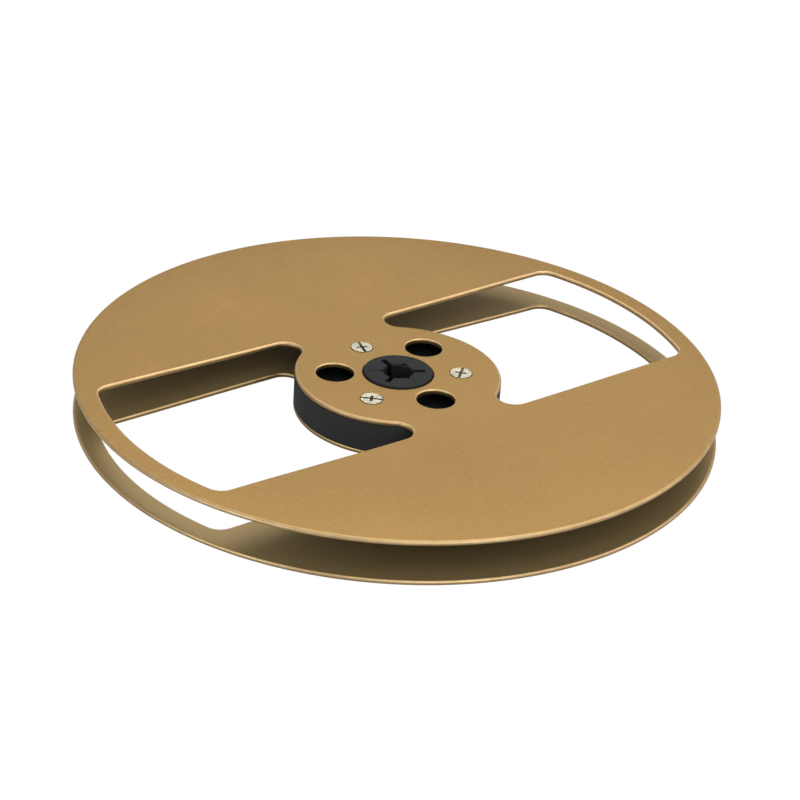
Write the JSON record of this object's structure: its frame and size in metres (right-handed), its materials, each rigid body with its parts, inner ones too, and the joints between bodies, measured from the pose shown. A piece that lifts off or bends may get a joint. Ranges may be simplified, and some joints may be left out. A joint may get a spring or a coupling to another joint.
{
  "type": "audio tape reel",
  "caption": "Empty open reel for quarter-inch audio tape: windowed gold anodised flanges screwed to a black drum with a keyed spindle bore.",
  "frame": {"origin": "on the reel's axis, at the plane on which the rim of the lower flange stands", "axes": "+Z along the reel's axis towards the upper flange; the windows of both flanges lie along X; the tape slot in the drum is on +X"},
  "size_m": [0.178, 0.178, 0.0128],
  "materials": {
    "gold_aluminium": "fine matte, gold anodised",
    "drum_plastic": "smooth satin black",
    "bush_plastic": "fine matte black",
    "screw_steel": "bright plated",
    "insert_brass": "plain turned"
  },
  "bodies": {
    "root": {"lower_flange": "gold_aluminium", "upper_flange": "gold_aluminium", "hub_drum": "drum_plastic", "spindle_bush": "bush_plastic", "upper_screw_1": "screw_steel", "upper_screw_2": "screw_steel", "upper_screw_3": "screw_steel", "lower_screw_1": "screw_steel", "lower_screw_2": "screw_steel", "lower_screw_3": "screw_steel", "upper_insert_1": "insert_brass", "upper_insert_2": "insert_brass", "upper_insert_3": "insert_brass", "lower_insert_1": "insert_brass", "lower_insert_2": "insert_brass", "lower_insert_3": "insert_brass"}
  },
  "joints": []
}
